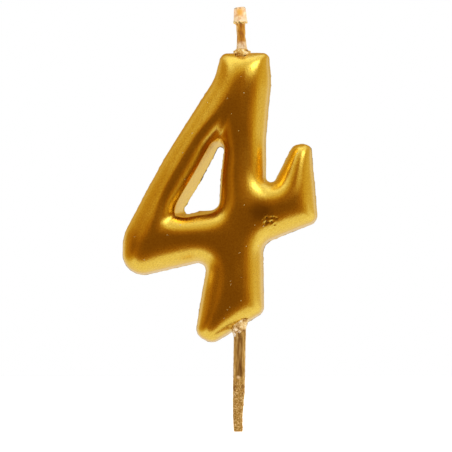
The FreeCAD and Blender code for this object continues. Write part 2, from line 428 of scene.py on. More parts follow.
CAP_RIM_DOWN = 0.10              # and up and down
CAP_SAG = 0.05
COLLAR_AROUND = 84
COLLAR_ALONG = 60
COLLAR_HEIGHT = 0.42
COLLAR_ROOT = -0.7               # how deep the collar starts in the wax
COLLAR_LUMPS = 0.09
COLLAR_GRAIN = 0.04


def leaning(points):
    """Lean points above the hinge with the wick."""
    over = np.clip(points[..., 2] - HINGE[2], 0, None)
    sideways = points[..., 0] - HINGE[0]
    moved = points.copy()
    above = over > 0
    sine, cosine = math.sin(WICK_LEAN), math.cos(WICK_LEAN)
    moved[..., 0] = np.where(above, HINGE[0] + sideways * cosine - over * sine, points[..., 0])
    moved[..., 2] = np.where(above, HINGE[2] + sideways * sine + over * cosine, points[..., 2])
    return moved


def around(count):
    """Evenly spaced angles round a ring, as a row."""
    return np.linspace(0, 2 * math.pi, count, endpoint=False)[None, :]


def ring_points(middle, size, turn, heights):
    """The points of rings round an upright axis at x = middle."""
    x = middle + size * np.cos(turn)
    y = size * np.sin(turn)
    return np.stack([x, y, np.broadcast_to(heights, x.shape)], axis=-1)


def node_box(name):
    """The lower and upper corner of a CAD node's box, in millimetres."""
    low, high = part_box(name)
    return np.array(low) / MM, np.array(high) / MM


def make_wick():
    """The braided wick, from its root in the wax to just under the cap's top."""
    core_low, core_high = node_box("wick_core")
    cap_low, cap_high = node_box("wick_bead")
    radius = (core_high[0] - core_low[0]) / 2
    hidden = np.linspace(core_low[2], core_high[2] - WICK_HIDDEN_TO, WICK_HIDDEN_RINGS)
    end = cap_high[2] - WICK_END_DEPTH
    close = np.arange(core_high[2] - WICK_CLOSE_FROM, end, WICK_RING_STEP)
    heights = np.concatenate([hidden, close])[:, None]
    turn = around(WICK_AROUND)
    one_way = np.cos(WICK_THREADS * (turn - BRAID_TURN * heights))
    other_way = np.cos(WICK_THREADS * (turn + BRAID_TURN * heights) + BRAID_OFFSET)
    relief = BRAID_RELIEF * np.maximum(one_way, other_way)
    foot = FOOT_SWELL * np.exp(-(((heights - core_high[2] - FOOT_RISE) / FOOT_SPREAD) ** 2))
    neck = NECK_SWELL * np.exp(-(((heights - cap_low[2]) / NECK_SPREAD) ** 2))
    uneven = solid_ripple(np.cos(turn), np.sin(turn), heights, 1.6, seed=21) * WICK_UNEVEN
    size = radius * (1 + foot + neck) - BRAID_RELIEF + relief + uneven
    wick = lathe_object("wick", leaning(ring_points(HINGE[0], size, turn, heights)))
    straight = wick.data.attributes.new("straight_place", "FLOAT_VECTOR", "POINT")
    coordinates = np.zeros(len(wick.data.vertices) * 3)
    wick.data.vertices.foreach_get("co", coordinates)
    straight.data.foreach_set("vector", coordinates)
    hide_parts("wick_core", "wick_tip")
    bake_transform(wick)
    return wick


def make_cap():
    """The blob of pale wax on the end of the wick, flared and ragged at its lower rim."""
    low, high = node_box("wick_bead")
    rim = (high[1] - low[1]) / 2
    base = low[2] + 0.06
    top = high[2] - 0.03
    profile = (
        (0.7, base + 0.12),
        (rim - 0.14, base),
        (rim, base + 0.12),
        (rim - 0.02, base + 0.5),
        (rim * 0.86, base + 1.5),
        (rim * 0.80, top - 0.14),
        (rim * 0.70, top),
        (0.25, top - 0.06),
    )
    radii, heights = along_profile(profile, CAP_ALONG)
    turn = around(CAP_AROUND)
    share = (heights - base) / (top - base)
    across, deep = radii * np.cos(turn), radii * np.sin(turn)
    lumps = solid_ripple(across, deep, heights, 1.5, seed=31)
    ragged = solid_ripple(across, deep, 0, 0.8, seed=33) * np.exp(-((share / 0.12) ** 2))
    four_sided = CAP_SQUARENESS * np.cos(4 * turn + 0.6) * share
    size = radii * (1 + CAP_LUMPS * lumps + four_sided) + CAP_RIM_OUT * ragged
    drop = -CAP_RIM_DOWN * ragged + CAP_SAG * lumps * share
    cap = lathe_object("wick_cap", leaning(ring_points(HINGE[0], size, turn, heights + drop)))
    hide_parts("wick_bead")
    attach(cap, "free_wick")
    return cap


def top_of_wax(y, level):
    """Height of the numeral's top, which rounds off towards the front, at a depth y."""
    front = np.clip((OUTER_SHOULDER - y) / (OUTER_SHOULDER - FRONT_Y), 0, 0.99)
    return level - OUTER_REACH * (1 - np.sqrt(1 - front**2))


def make_collar():
    """Wax and lacquer drawn up round the foot of the wick, thin and ragged at its edge."""
    low, high = node_box("wick_collar")
    core_low, core_high = node_box("wick_core")
    level = high[2] - COLLAR_HEIGHT
    bore = (core_high[0] - core_low[0]) / 2 + 0.03
    edge = (high[0] - low[0]) / 2
    profile = (
        (bore, COLLAR_ROOT),
        (edge * 0.9, COLLAR_ROOT),
        (edge * 0.97, -0.03),
        (edge * 0.90, 0.05),
        (edge * 0.78, 0.14),
        (edge * 0.68, COLLAR_HEIGHT - 0.1),
        (bore + 0.1, COLLAR_HEIGHT),
        (bore, COLLAR_HEIGHT - 0.08),
    )
    radii, rises = along_profile(profile, COLLAR_ALONG)
    turn = around(COLLAR_AROUND)
    out = (radii - bore) / (edge - bore)
    across, deep = radii * np.cos(turn), radii * np.sin(turn)
    lumps = solid_ripple(across, deep, rises, 1.6, seed=41)
    fine = solid_ripple(across, deep, rises, 0.5, seed=43)
    size = radii + out * (COLLAR_LUMPS * lumps + COLLAR_GRAIN * fine)
    ground = level + out * (top_of_wax(deep, level) - level)
    heights = ground + rises + 0.05 * lumps + 0.03 * fine
    collar = lathe_object("wick_collar_wax", ring_points(HINGE[0], size, turn, heights))
    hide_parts("wick_collar")
    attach(collar, "numeral")
    return collar


# The pick's section at a few heights: z, side, and how far its middle is off the axis.
PICK_SECTIONS = (
    (-19.6, 1.60, -0.40),
    (-16.2, 1.76, -0.46),
    (-12.4, 2.14, -0.28),
    (0.0, 2.20, -0.05),
    (12.0, 2.20, 0.0),
)
PICK_AT_WAX = PICK_SECTIONS[3]
PICK_TURN = math.radians(7.0)
PICK_SQUARENESS = 6.0
PICK_AROUND = 96
PICK_RING_STEP = 0.11
PICK_END = 0.55          # share of the size at the very end, and just above it
PICK_END_EDGE = 0.94
PICK_ROUGH = 0.012       # roughness everywhere, and more of it on the lower part
PICK_ROUGH_LOWER = 0.016
PICK_WAVY = 0.02
PICK_FINE_TO = 3.0       # close rings up to here, inside the wax
GROOVE_HALF = 0.43
GROOVE_SOFT = 0.08
GROOVE_DEPTH = 0.3
GROOVE_TOP = -1.9
GROOVE_BOTTOM = -9.2
LIP_HEIGHT = 0.06        # the small raised lip at the groove's lower end
LIP_SPREAD = 0.13
DENT_COUNT = 16
DENT_DEPTH = 0.10
DENT_MOST = 0.16
# The wax that runs down the pick below the numeral. A direction round the pick and its
# width are in degrees, and a run also says how far the wax's lower edge moves there.
WAX_THIN = 0.03          # thickness at the lower edge
WAX_THICKER = 0.30       # and how much more at the numeral
WAX_RUN_THICK = 0.16     # and where it runs down on the left
WAX_RUN = (188, 30)
WAX_PITS = 0.14
WAX_PITTED = (262, 40)
WAX_ALONG = 46
WAX_EDGE = -0.75
WAX_RUNS = (
    (188, 26, -1.5),
    (238, 26, -0.75),
    (0, 50, 0.5),
)


def soft_step(value, low, high):
    """Nothing below low, one above high, smooth between them."""
    t = np.clip((value - low) / (high - low), 0, 1)
    return t * t * (3 - 2 * t)


def square_radius(turn):
    """Radius of a rounded square of half side 1 in a direction."""
    power = PICK_SQUARENESS
    return (np.abs(np.cos(turn)) ** power + np.abs(np.sin(turn)) ** power) ** (-1 / power)


def pick_front(x, heights):
    """How far the pick's front is pressed in: its groove, the lip under it, and dents."""
    within = soft_step(GROOVE_HALF + GROOVE_SOFT - np.abs(x + 0.05), 0, 2 * GROOVE_SOFT)
    below_top = soft_step(-heights, -GROOVE_TOP - 0.3, -GROOVE_TOP)
    above_bottom = soft_step(heights, GROOVE_BOTTOM - 0.1, GROOVE_BOTTOM + 0.15)
    lip = np.exp(-(((heights - GROOVE_BOTTOM + 0.25) / LIP_SPREAD) ** 2)) * within
    rng = np.random.default_rng(57)
    dents = np.zeros_like(x)
    for _ in range(DENT_COUNT):
        dent_x = rng.uniform(-0.45, 0.45)
        dent_z = rng.uniform(-15.5, -10.0)
        reach = rng.uniform(0.14, 0.34)
        dents += DENT_DEPTH * np.exp(-((x - dent_x) ** 2 + (heights - dent_z) ** 2) / reach**2)
    groove = GROOVE_DEPTH * within * (below_top * above_bottom)
    return groove - LIP_HEIGHT * lip + np.clip(dents, 0, DENT_MOST)


def make_pick():
    """The square pick: grooved in front, crooked, narrowed to a blunt end, roughly painted."""
    levels, sides, shifts = np.array(PICK_SECTIONS).T
    close = np.arange(levels[0] + 0.1, PICK_FINE_TO, PICK_RING_STEP)
    heights = np.concatenate([[levels[0]] * 2, close, [levels[-1]]])
    half = np.interp(heights, levels, sides)[:, None] / 2
    shift = np.interp(heights, levels, shifts)[:, None]
    half[0] *= PICK_END
    half[1] *= PICK_END_EDGE
    heights = heights[:, None]
    turn = around(PICK_AROUND)
    across, deep = np.cos(turn), np.sin(turn)
    coarse = solid_ripple(across, deep, heights, 0.5, seed=51, terms=16)
    rough = coarse + 0.7 * solid_ripple(across, deep, heights, 0.25, seed=53)
    wavy = solid_ripple(across, deep, heights, 3.4, seed=55)
    lower = soft_step(-heights, 8.0, 14.0)
    relief = (PICK_ROUGH + PICK_ROUGH_LOWER * lower) * rough
    size = half * square_radius(turn) + relief + PICK_WAVY * wavy
    x = size * np.cos(turn)
    y = size * np.sin(turn)
    y = y + soft_step(-y, 0.5 * half, 0.8 * half) * pick_front(x, heights)
    cosine, sine = math.cos(PICK_TURN), math.sin(PICK_TURN)
    x = x + shift
    rings = np.stack([x * cosine - y * sine, x * sine + y * cosine, heights + 0 * x], axis=-1)
    pick = lathe_object("pick_stick", rings)
    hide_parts("pick")
    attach(pick, "numeral")
    return pick


def make_pick_wax():
    """Wax run down round the pick below the numeral, longest on the left."""
    _, side, middle = PICK_AT_WAX
    half = side / 2
    top = node_box("pick_bead")[1][2]
    turn = around(PICK_AROUND)

    def near(degrees, width):
        """One in a direction round the pick, falling to nothing beside it."""
        off = (turn - math.radians(degrees) + math.pi) % (2 * math.pi) - math.pi
        return np.exp(-((off / math.radians(width)) ** 2))

    lowest = WAX_EDGE
    for degrees, width, change in WAX_RUNS:
        lowest = lowest + change * near(degrees, width)
    across, deep = half * np.cos(turn), half * np.sin(turn)
    lowest = lowest + 0.10 * solid_ripple(across, deep, 0, 0.9, seed=61)
    share = np.linspace(0, 1, WAX_ALONG)[:, None]
    heights = lowest + (top - lowest) * share
    run = WAX_RUN_THICK * near(*WAX_RUN) * soft_step(share, 0.05, 0.4)
    thick = WAX_THIN + WAX_THICKER * soft_step(share, 0, 0.75) + run
    lumps = solid_ripple(across, deep, heights, 0.9, seed=63)
    pits = np.clip(solid_ripple(across, deep, heights, 0.45, seed=65) - 0.7, 0, 1)
    pits = WAX_PITS * pits * near(*WAX_PITTED)
    size = half * square_radius(turn) + thick * (1 + 0.35 * lumps) - pits
    inner = half * 0.75 * square_radius(turn)
    size = np.concatenate([inner, size, inner])
    heights = np.concatenate([lowest + 0.12, heights, heights[-1:]])
    wax = lathe_object("pick_wax", ring_points(middle, size, turn, heights))
    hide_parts("pick_bead")
    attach(wax, "numeral")
    return wax


def make_numeral():
    """The lacquered numeral, with its cluster of casting pits."""
    xs, ys, zs, field = numeral_field()
    verts, faces = surface_net(xs, ys, zs, field)
    verts = relaxed(verts, faces)
    rng = np.random.default_rng(71)
    for _ in range(PIT_COUNT):
        spot = PIT_CENTRE + rng.normal(size=2) * PIT_SPREAD
        reach = rng.uniform(0.18, 0.28)
        depth = rng.uniform(0.08, 0.18)
        away = np.hypot(verts[:, 0] - spot[0], verts[:, 2] - spot[1])
        verts[:, 1] += (verts[:, 1] < 0) * depth * np.exp(-((away / reach) ** 2))
    numeral = mesh_object("gold_coat", verts * MM, faces)
    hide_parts("lacquer_coat", "wax_body")
    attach(numeral, "numeral")
    return numeral


# ---------------------------------------------------------------------------------------
# Materials. A tone table gives a colour for each value of a pattern; a spot is a centre
# in millimetres and the reach of its mark.
# ---------------------------------------------------------------------------------------
GOLD_TONES = (
    (0.30, (0.80, 0.52, 0.050)),
    (0.52, (0.93, 0.65, 0.075)),
    (0.74, (1.0, 0.76, 0.14)),
)
FLASH_BROWN = (0.16, 0.07, 0.02)
# Painted dark reflection: brown in the lacquer's colour where the arm meets the stem, standing in for the
# dark room mirrored there
PAINTED_DARK_REFLECTION = (0.30, 0.16, 0.02)
PIT_BROWN = (0.20, 0.09, 0.015)
# Painted sheen: a pale grainy patch on the numeral's top round the wick's foot, standing in for light on
# the top
PAINTED_SHEEN_GOLD = (1.0, 0.88, 0.66)
SPECK_GOLD = (1.0, 0.92, 0.62)
PAINTED_DARK_REFLECTION_SPOT = ((4.0, -4.7, 22.3), 3.0)      # painted dark reflection, where the arm meets the stem
PAINTED_DARK_REFLECTION_STRENGTH = 0.55
PIT_SPOT = ((PIT_CENTRE[0], -4.2, PIT_CENTRE[1]), 2.1)
SMUDGE_SPOT = ((-11.4, -2.8, 22.6), 0.9)   # left of the hole
PAINTED_SHEEN_SPOT = ((1.6, 0.2, 52.6), 3.2)
FLASH_FROM = 0.30                          # in front of the back face, in millimetres
FLASH_FULL = 0.05
FLASH_GRAIN = 0.7
WICK_TONES = (
    (0.32, (0.30, 0.10, 0.006)),
    (0.50, (0.62, 0.29, 0.016)),
    (0.70, (0.86, 0.55, 0.12)),
)
# Painted shade down the wick's middle and painted sheen on its sides, across x, standing in for how light
# falls round the thin wick
WICK_PAINTED_SHADE = (0.40, 0.14, 0.006)
WICK_PAINTED_SHEEN = (0.88, 0.66, 0.30)
WICK_FOOT = (0.93, 0.78, 0.55)
CAP_TONES = (
    (0.36, (0.80, 0.52, 0.30)),
    (0.5, (0.95, 0.76, 0.52)),
    (0.62, (1.0, 0.90, 0.70)),
)
CAP_GOLDEN = (0.85, 0.48, 0.10)
CAP_LOW_RIM = (0.80, 0.58, 0.06)
CAP_FLECKS = (0.20, 0.11, 0.03)
COLLAR_TONES = (
    (0.34, (0.22, 0.08, 0.008)),
    (0.42, (0.66, 0.36, 0.05)),
    (0.54, (0.92, 0.70, 0.26)),
    (0.68, (0.99, 0.88, 0.62)),
)
PICK_TONES = (
    (0.30, (0.20, 0.09, 0.016)),
    (0.43, (0.46, 0.26, 0.055)),
    (0.56, (0.68, 0.44, 0.12)),
    (0.70, (0.96, 0.76, 0.36)),
)
# Painted shade: brown inside the pick's front groove, where shade falls
GROOVE_PAINTED_SHADE = (0.27, 0.13, 0.025)
GROOVE_MARK = (0.93, 0.72, 0.42)
GROOVE_MARK_SPOT = ((-0.3, -1.0, GROOVE_BOTTOM - 0.1), 0.5)
PICK_STAINS = (0.26, 0.10, 0.02)
PICK_STAINS_SPOT = ((-0.35, -1.0, -11.6), 2.0)
PICK_GLITTER = (1.0, 0.86, 0.48)
BEAD_TONES = (
    (0.34, (0.24, 0.11, 0.02)),
    (0.45, (0.55, 0.34, 0.10)),
    (0.58, (0.78, 0.60, 0.28)),
    (0.72, (0.90, 0.84, 0.66)),
)
BARE_WAX = (0.92, 0.90, 0.80)
BARE_WAX_SPOT = ((-0.9, -1.3, -1.1), 1.5)


def node(tree, kind, **values):
    """A new node with some of its settings."""
    made = tree.nodes.new(kind)
    for name, value in values.items():
        setattr(made, name, value)
    return made


def ramp_node(tree, factor, stops):
    """A colour ramp driven by a factor."""
    ramp = node(tree, "ShaderNodeValToRGB")
    elements = ramp.color_ramp.elements
    elements[0].position = stops[0][0]
    elements[1].position = stops[-1][0]
    for position, _ in stops[1:-1]:
        elements.new(position)
    for element, (_, colour) in zip(elements, stops):
        element.color = (*colour, 1)
    tree.links.new(factor, ramp.inputs["Fac"])
    return ramp.outputs["Color"]


def new_material(name, **sockets):
    """A material, its tree and its shader, with values set on the shader's own sockets."""
    material = bpy.data.materials.new(name)
    material.use_nodes = True
    shader = material.node_tree.nodes["Principled BSDF"]
    for socket, value in sockets.items():
        shader.inputs[socket.replace("_", " ")].default_value = value
    return material, material.node_tree, shader


def scaled(tree, place, stretch):
    """A place scaled along each axis, for streaky patterns."""
    mapping = node(tree, "ShaderNodeMapping")
    mapping.inputs["Scale"].default_value = stretch
    tree.links.new(place, mapping.inputs["Vector"])
    return mapping.outputs["Vector"]


def object_place(tree):
    """The point on the piece in metres."""
    return node(tree, "ShaderNodeTexCoord").outputs["Object"]


def split(tree, vector):
    """The X, Y and Z of a vector."""
    apart = node(tree, "ShaderNodeSeparateXYZ")
    tree.links.new(vector, apart.inputs[0])
    return apart.outputs


def noise(tree, place, size_mm, detail=2.0, rough=0.5):
    """Cloudy noise whose lumps are about a size in millimetres."""
    made = node(tree, "ShaderNodeTexNoise")
    made.inputs["Scale"].default_value = 1 / (size_mm * MM)
    made.inputs["Detail"].default_value = detail
    made.inputs["Roughness"].default_value = rough
    tree.links.new(place, made.inputs["Vector"])
    return made.outputs["Fac"]


def cells(tree, place, size_mm, output):
    """A pattern of cells about a size in millimetres: their colours or distances."""
    made = node(tree, "ShaderNodeTexVoronoi")
    made.inputs["Scale"].default_value = 1 / (size_mm * MM)
    tree.links.new(place, made.inputs["Vector"])
    return made.outputs[output]


def math_node(tree, operation, a, b=0.0):
    """The result of an operation on two sockets or numbers."""
    made = node(tree, "ShaderNodeMath", operation=operation)
    for socket, value in zip(made.inputs, (a, b)):
        if isinstance(value, (int, float)):
            socket.default_value = value
        else:
            tree.links.new(value, socket)
    return made.outputs[0]


def product(tree, a, b):
    """One socket multiplied by another or by a number."""
    return math_node(tree, "MULTIPLY", a, b)


def remap(tree, value, low, high, to_low=0.0, to_high=1.0):
    """A value taken smoothly from the range low to high to another range."""
    made = node(tree, "ShaderNodeMapRange", interpolation_type="SMOOTHSTEP")
    made.inputs["From Min"].default_value = low
    made.inputs["From Max"].default_value = high
    made.inputs["To Min"].default_value = to_low
    made.inputs["To Max"].default_value = to_high
    tree.links.new(value, made.inputs["Value"])
    return made.outputs[0]


def blend_colour(tree, factor, a, b):
    """Colour a where the factor is nothing, b where it is one."""
    made = node(tree, "ShaderNodeMix", data_type="RGBA")
    tree.links.new(factor, made.inputs["Factor"])
    tree.links.new(a, made.inputs["A"])
    made.inputs["B"].default_value = (*b, 1)
    return made.outputs["Result"]


def near_point(tree, place, centre_mm, reach_mm):
    """One near a point of the piece, falling to nothing at a reach from it."""
    gap = node(tree, "ShaderNodeVectorMath", operation="DISTANCE")
    gap.inputs[1].default_value = tuple(c * MM for c in centre_mm)
    tree.links.new(place, gap.inputs[0])
    return remap(tree, gap.outputs["Value"], reach_mm * MM, 0.25 * reach_mm * MM)


def add_bump(tree, shader, layers):
    """Fine relief from several heights, each with its depth in millimetres."""
    normal = None
    for height, depth_mm in layers:
        bump = node(tree, "ShaderNodeBump")
        bump.inputs["Strength"].default_value = 1.0
        bump.inputs["Distance"].default_value = depth_mm * MM
        tree.links.new(height, bump.inputs["Height"])
        if normal is not None:
            tree.links.new(normal, bump.inputs["Normal"])
        normal = bump.outputs["Normal"]
    tree.links.new(normal, shader.inputs["Normal"])


def flash_mask(tree, place, grain, clouds):
    """Patches along the edge of the back face, but not on the face itself."""
    back = math_node(tree, "ADD", split(tree, place)["Y"], product(tree, grain, FLASH_GRAIN * MM))
    mask = remap(tree, back, (BACK_Y - FLASH_FROM) * MM, (BACK_Y - FLASH_FULL) * MM, 0.0, 0.9)
    normal = node(tree, "ShaderNodeTexCoord").outputs["Normal"]
    mask = product(tree, mask, remap(tree, split(tree, normal)["Y"], 0.8, 0.3))
    return product(tree, mask, remap(tree, clouds, 0.44, 0.56, 0.2, 1.0))


def gold_material():
    """Metallic gold lacquer: satin, finely grained, brown along the moulding flash, with a painted dark
    reflection where the arm meets the stem and a painted sheen on the top.
    """
    material, tree, shader = new_material(
        "gold_lacquer",
        Metallic=1.0,
        Specular_Tint=(1.0, 0.93, 0.8, 1),
        Coat_Weight=0.45,
        Coat_Roughness=0.16,
    )
    place = object_place(tree)
    grain = noise(tree, place, 0.32, 3.0, 0.65)
    clouds = noise(tree, place, 5.0, 3.0)
    brushed = noise(tree, scaled(tree, place, (1, 1, 0.08)), 0.5, 2.0)
    flash = flash_mask(tree, place, grain, clouds)
    pits = near_point(tree, place, *PIT_SPOT)
    pits = product(tree, pits, remap(tree, noise(tree, place, 0.4, 1.0), 0.55, 0.62))
    smudge = near_point(tree, place, *SMUDGE_SPOT)
    # painted sheen on the top round the wick's foot
    painted_sheen = near_point(tree, place, *PAINTED_SHEEN_SPOT)
    painted_sheen = product(tree, painted_sheen, remap(tree, grain, 0.50, 0.60))
    # painted dark reflection where the arm meets the stem
    painted_dark_reflection = product(tree, near_point(tree, place, *PAINTED_DARK_REFLECTION_SPOT), PAINTED_DARK_REFLECTION_STRENGTH)
    specks = math_node(tree, "LESS_THAN", cells(tree, place, 2.1, "Distance"), 0.06)
    colour = ramp_node(tree, grain, GOLD_TONES)
    colour = blend_colour(tree, flash, colour, FLASH_BROWN)
    colour = blend_colour(tree, painted_dark_reflection, colour, PAINTED_DARK_REFLECTION)
    colour = blend_colour(tree, math_node(tree, "MAXIMUM", pits, smudge), colour, PIT_BROWN)
    colour = blend_colour(tree, painted_sheen, colour, PAINTED_SHEEN_GOLD)
    colour = blend_colour(tree, specks, colour, SPECK_GOLD)
    tree.links.new(colour, shader.inputs["Base Color"])
    dull = math_node(tree, "MAXIMUM", math_node(tree, "MAXIMUM", flash, pits), specks)
    satin = remap(tree, clouds, 0.3, 0.7, 0.20, 0.27)
    rough = math_node(tree, "ADD", satin, product(tree, dull, 0.35))
    tree.links.new(rough, shader.inputs["Roughness"])
    add_bump(tree, shader, ((clouds, 0.06), (grain, 0.014), (brushed, 0.020), (specks, 0.02)))
    return material


def wick_material():
    """Cotton soaked in wax, with gold lacquer sprayed over it: dark amber with paler streaks, with
    painted shade down its middle and a painted sheen on its sides.
    """
    material, tree, shader = new_material(
        "waxed_cotton",
        Coat_Weight=0.35,
        Coat_Roughness=0.3,
        Metallic=0.2,
    )
    place = node(tree, "ShaderNodeAttribute", attribute_name="straight_place").outputs["Vector"]
    streaks = noise(tree, scaled(tree, place, (1, 1, 0.22)), 0.30, 3.0)
    blotches = noise(tree, place, 0.8, 2.0)
    apart = split(tree, place)
    foot = remap(tree, apart["Z"], (HINGE[2] + 1.0) * MM, (HINGE[2] + 0.1) * MM)
    foot = product(tree, foot, remap(tree, blotches, 0.35, 0.55, 0.35, 1.0))
    sideways = math_node(tree, "SUBTRACT", apart["X"], HINGE[0] * MM)
    sideways = math_node(tree, "ABSOLUTE", sideways)
    # painted shade down the wick's middle and painted sheen on its sides, across x
    middle = remap(tree, sideways, 0.6 * MM, 0.2 * MM, 0.0, 0.6)
    sides = remap(tree, sideways, 0.45 * MM, 0.85 * MM)
    sides = product(tree, sides, remap(tree, blotches, 0.4, 0.55))
    colour = ramp_node(tree, streaks, WICK_TONES)
    colour = blend_colour(tree, middle, colour, WICK_PAINTED_SHADE)
    colour = blend_colour(tree, product(tree, sides, 0.8), colour, WICK_PAINTED_SHEEN)
    colour = blend_colour(tree, foot, colour, WICK_FOOT)
    tree.links.new(colour, shader.inputs["Base Color"])
    tree.links.new(remap(tree, streaks, 0.3, 0.7, 0.55, 0.30), shader.inputs["Roughness"])
    add_bump(tree, shader, ((streaks, 0.05), (blotches, 0.06)))
    return material


def cap_material():
    """Pale translucent wax over the wick's golden end, with brown flecks on its rims."""
    material, tree, shader = new_material(
        "cap_wax",
        Subsurface_Weight=0.1,
        Subsurface_Scale=0.3 * MM,
        Coat_Weight=0.2,
        Coat_Roughness=0.35,
    )
    place = object_place(tree)
    mottle = noise(tree, place, 0.6, 3.0)
    low, high = node_box("wick_bead")
    middle = (low + high) / 2
    golden = near_point(tree, place, (middle[0] - 0.05, low[1], high[2] - 1.0), 1.25)
    height = split(tree, place)["Z"]
    top_rim = remap(tree, height, (high[2] - 0.5) * MM, (high[2] - 0.1) * MM)
    low_rim = remap(tree, height, (low[2] + 0.55) * MM, (low[2] + 0.1) * MM)
    rims = math_node(tree, "ADD", top_rim, low_rim)
    flecks = product(tree, rims, remap(tree, noise(tree, place, 0.5, 1.0), 0.49, 0.58))
    colour = ramp_node(tree, mottle, CAP_TONES)
    colour = blend_colour(tree, golden, colour, CAP_GOLDEN)
    colour = blend_colour(tree, product(tree, low_rim, 0.7), colour, CAP_LOW_RIM)
    colour = blend_colour(tree, flecks, colour, CAP_FLECKS)
    tree.links.new(colour, shader.inputs["Base Color"])
    tree.links.new(remap(tree, mottle, 0.3, 0.7, 0.4, 0.6), shader.inputs["Roughness"])
    add_bump(tree, shader, ((mottle, 0.08), (noise(tree, place, 0.2, 2.0), 0.02)))
    return material


def collar_material():
    """Lacquer over lumpy wax, brown in the hollows and pale on the crests."""
    material, tree, shader = new_material("collar_lacquer", Metallic=0.4, Coat_Weight=0.2)
    lumps = noise(tree, object_place(tree), 0.55, 3.0, 0.6)
    colour = ramp_node(tree, lumps, COLLAR_TONES)
    tree.links.new(colour, shader.inputs["Base Color"])
    tree.links.new(remap(tree, lumps, 0.3, 0.7, 0.55, 0.3), shader.inputs["Roughness"])
    add_bump(tree, shader, ((lumps, 0.06),))
    return material


def pick_material():
    """Thick uneven gold paint on a plastic pick: brown where thin, with painted shade down its front
    groove, glittery below.
    """
    material, tree, shader = new_material(
        "pick_paint",
        Metallic=0.45,
        Coat_Weight=0.05,
        Coat_Roughness=0.5,
    )
    place = object_place(tree)
    streaks = noise(tree, scaled(tree, place, (1, 1, 0.15)), 0.5, 3.0, 0.6)
    flakes = noise(tree, place, 0.26, 3.0, 0.7)
    apart = split(tree, place)
    lower = remap(tree, apart["Z"], -8.0 * MM, -13.0 * MM)
    pattern = node(tree, "ShaderNodeMix", data_type="FLOAT")
    tree.links.new(lower, pattern.inputs["Factor"])
    tree.links.new(streaks, pattern.inputs["A"])
    tree.links.new(flakes, pattern.inputs["B"])
    sideways = math_node(tree, "ADD", apart["X"], 0.24 * MM)
    sideways = math_node(tree, "ABSOLUTE", sideways)
    # painted shade inside the front groove, above its lower end
    groove = remap(tree, sideways, (GROOVE_HALF + 0.28) * MM, (GROOVE_HALF + 0.05) * MM)
    above = remap(tree, apart["Z"], (GROOVE_BOTTOM - 0.1) * MM, (GROOVE_BOTTOM + 0.2) * MM)
    in_front = remap(tree, apart["Y"], -0.5 * MM, -0.7 * MM)
    groove = product(tree, product(tree, groove, above), in_front)
    groove = product(tree, groove, remap(tree, streaks, 0.35, 0.6, 0.65, 0.35))
    mark = near_point(tree, place, *GROOVE_MARK_SPOT)
    blots = remap(tree, noise(tree, place, 0.7, 2.0), 0.50, 0.60, 0.0, 0.8)
    stains = product(tree, near_point(tree, place, *PICK_STAINS_SPOT), blots)
    glitter = product(tree, lower, remap(tree, flakes, 0.56, 0.64))
    colour = ramp_node(tree, pattern.outputs["Result"], PICK_TONES)
    colour = blend_colour(tree, groove, colour, GROOVE_PAINTED_SHADE)
    colour = blend_colour(tree, mark, colour, GROOVE_MARK)
    colour = blend_colour(tree, stains, colour, PICK_STAINS)
    colour = blend_colour(tree, glitter, colour, PICK_GLITTER)
    tree.links.new(colour, shader.inputs["Base Color"])
    tree.links.new(remap(tree, flakes, 0.3, 0.7, 0.6, 0.32), shader.inputs["Roughness"])
    add_bump(tree, shader, ((flakes, 0.06), (cells(tree, place, 0.18, "Color"), 0.02)))
    return material


def bead_material():
    """Pale wax under thin brown-gold overspray."""
    material, tree, shader = new_material("bead_wax", Coat_Weight=0.2, Coat_Roughness=0.4)
    place = object_place(tree)
    clouds = noise(tree, place, 0.9, 3.0, 0.6)
    bare = near_point(tree, place, *BARE_WAX_SPOT)
    bare = product(tree, bare, remap(tree, clouds, 0.40, 0.52))
    colour = ramp_node(tree, clouds, BEAD_TONES)
    colour = blend_colour(tree, bare, colour, BARE_WAX)
    tree.links.new(colour, shader.inputs["Base Color"])
    tree.links.new(remap(tree, clouds, 0.3, 0.7, 0.35, 0.6), shader.inputs["Roughness"])
    add_bump(tree, shader, ((clouds, 0.08), (noise(tree, place, 0.2), 0.03)))
    return material


# ---------------------------------------------------------------------------------------
# Studio: a room that is warm and dark behind the camera and brighter behind the candle.
# Directions are azimuth, from the front towards +X, and elevation, both in degrees.
# ---------------------------------------------------------------------------------------
# The room's colour for each level of brightness.
ROOM_TONES = (
    (0.00, (0.13, 0.050, 0.007)),
    (0.18, (0.18, 0.075, 0.012)),
    (0.38, (0.38, 0.160, 0.020)),
    (0.55, (0.55, 0.345, 0.060)),
    (0.66, (0.66, 0.490, 0.180)),
    (0.75, (0.76, 0.660, 0.500)),
    (0.88, (0.95, 0.920, 0.900)),
    (1.00, (1.20, 1.200, 1.200)),
)
ROOM_DARK = 0.19         # the level at the front of the room
ROOM_RISE = 0.60         # and how much more at its back
ROOM_FROM_Y = -0.85
ROOM_TO_Y = 0.35
# Lit and shaded patches of the walls: azimuth, elevation, radius of the full patch,
# radius where it ends, and what it adds to the level.
ROOM_PATCHES = (
    (-35, 66, 12, 46, 0.35),
    (-105, 52, 10, 36, 0.10),
    (52, 40, 8, 34, 0.54),
    (-58, 28, 6, 30, 0.14),
    (-130, 36, 10, 36, -0.08),
    (0, 38, 8, 36, 0.08),
    (25, 20, 5, 26, 0.07),
    (122, 62, 8, 30, 0.14),
    (-176, 32, 12, 44, -0.24),
    (-98, 6, 5, 42, -0.34),
    (115, 24, 8, 36, -0.14),
    (105, -35, 10, 40, 0.10),
)
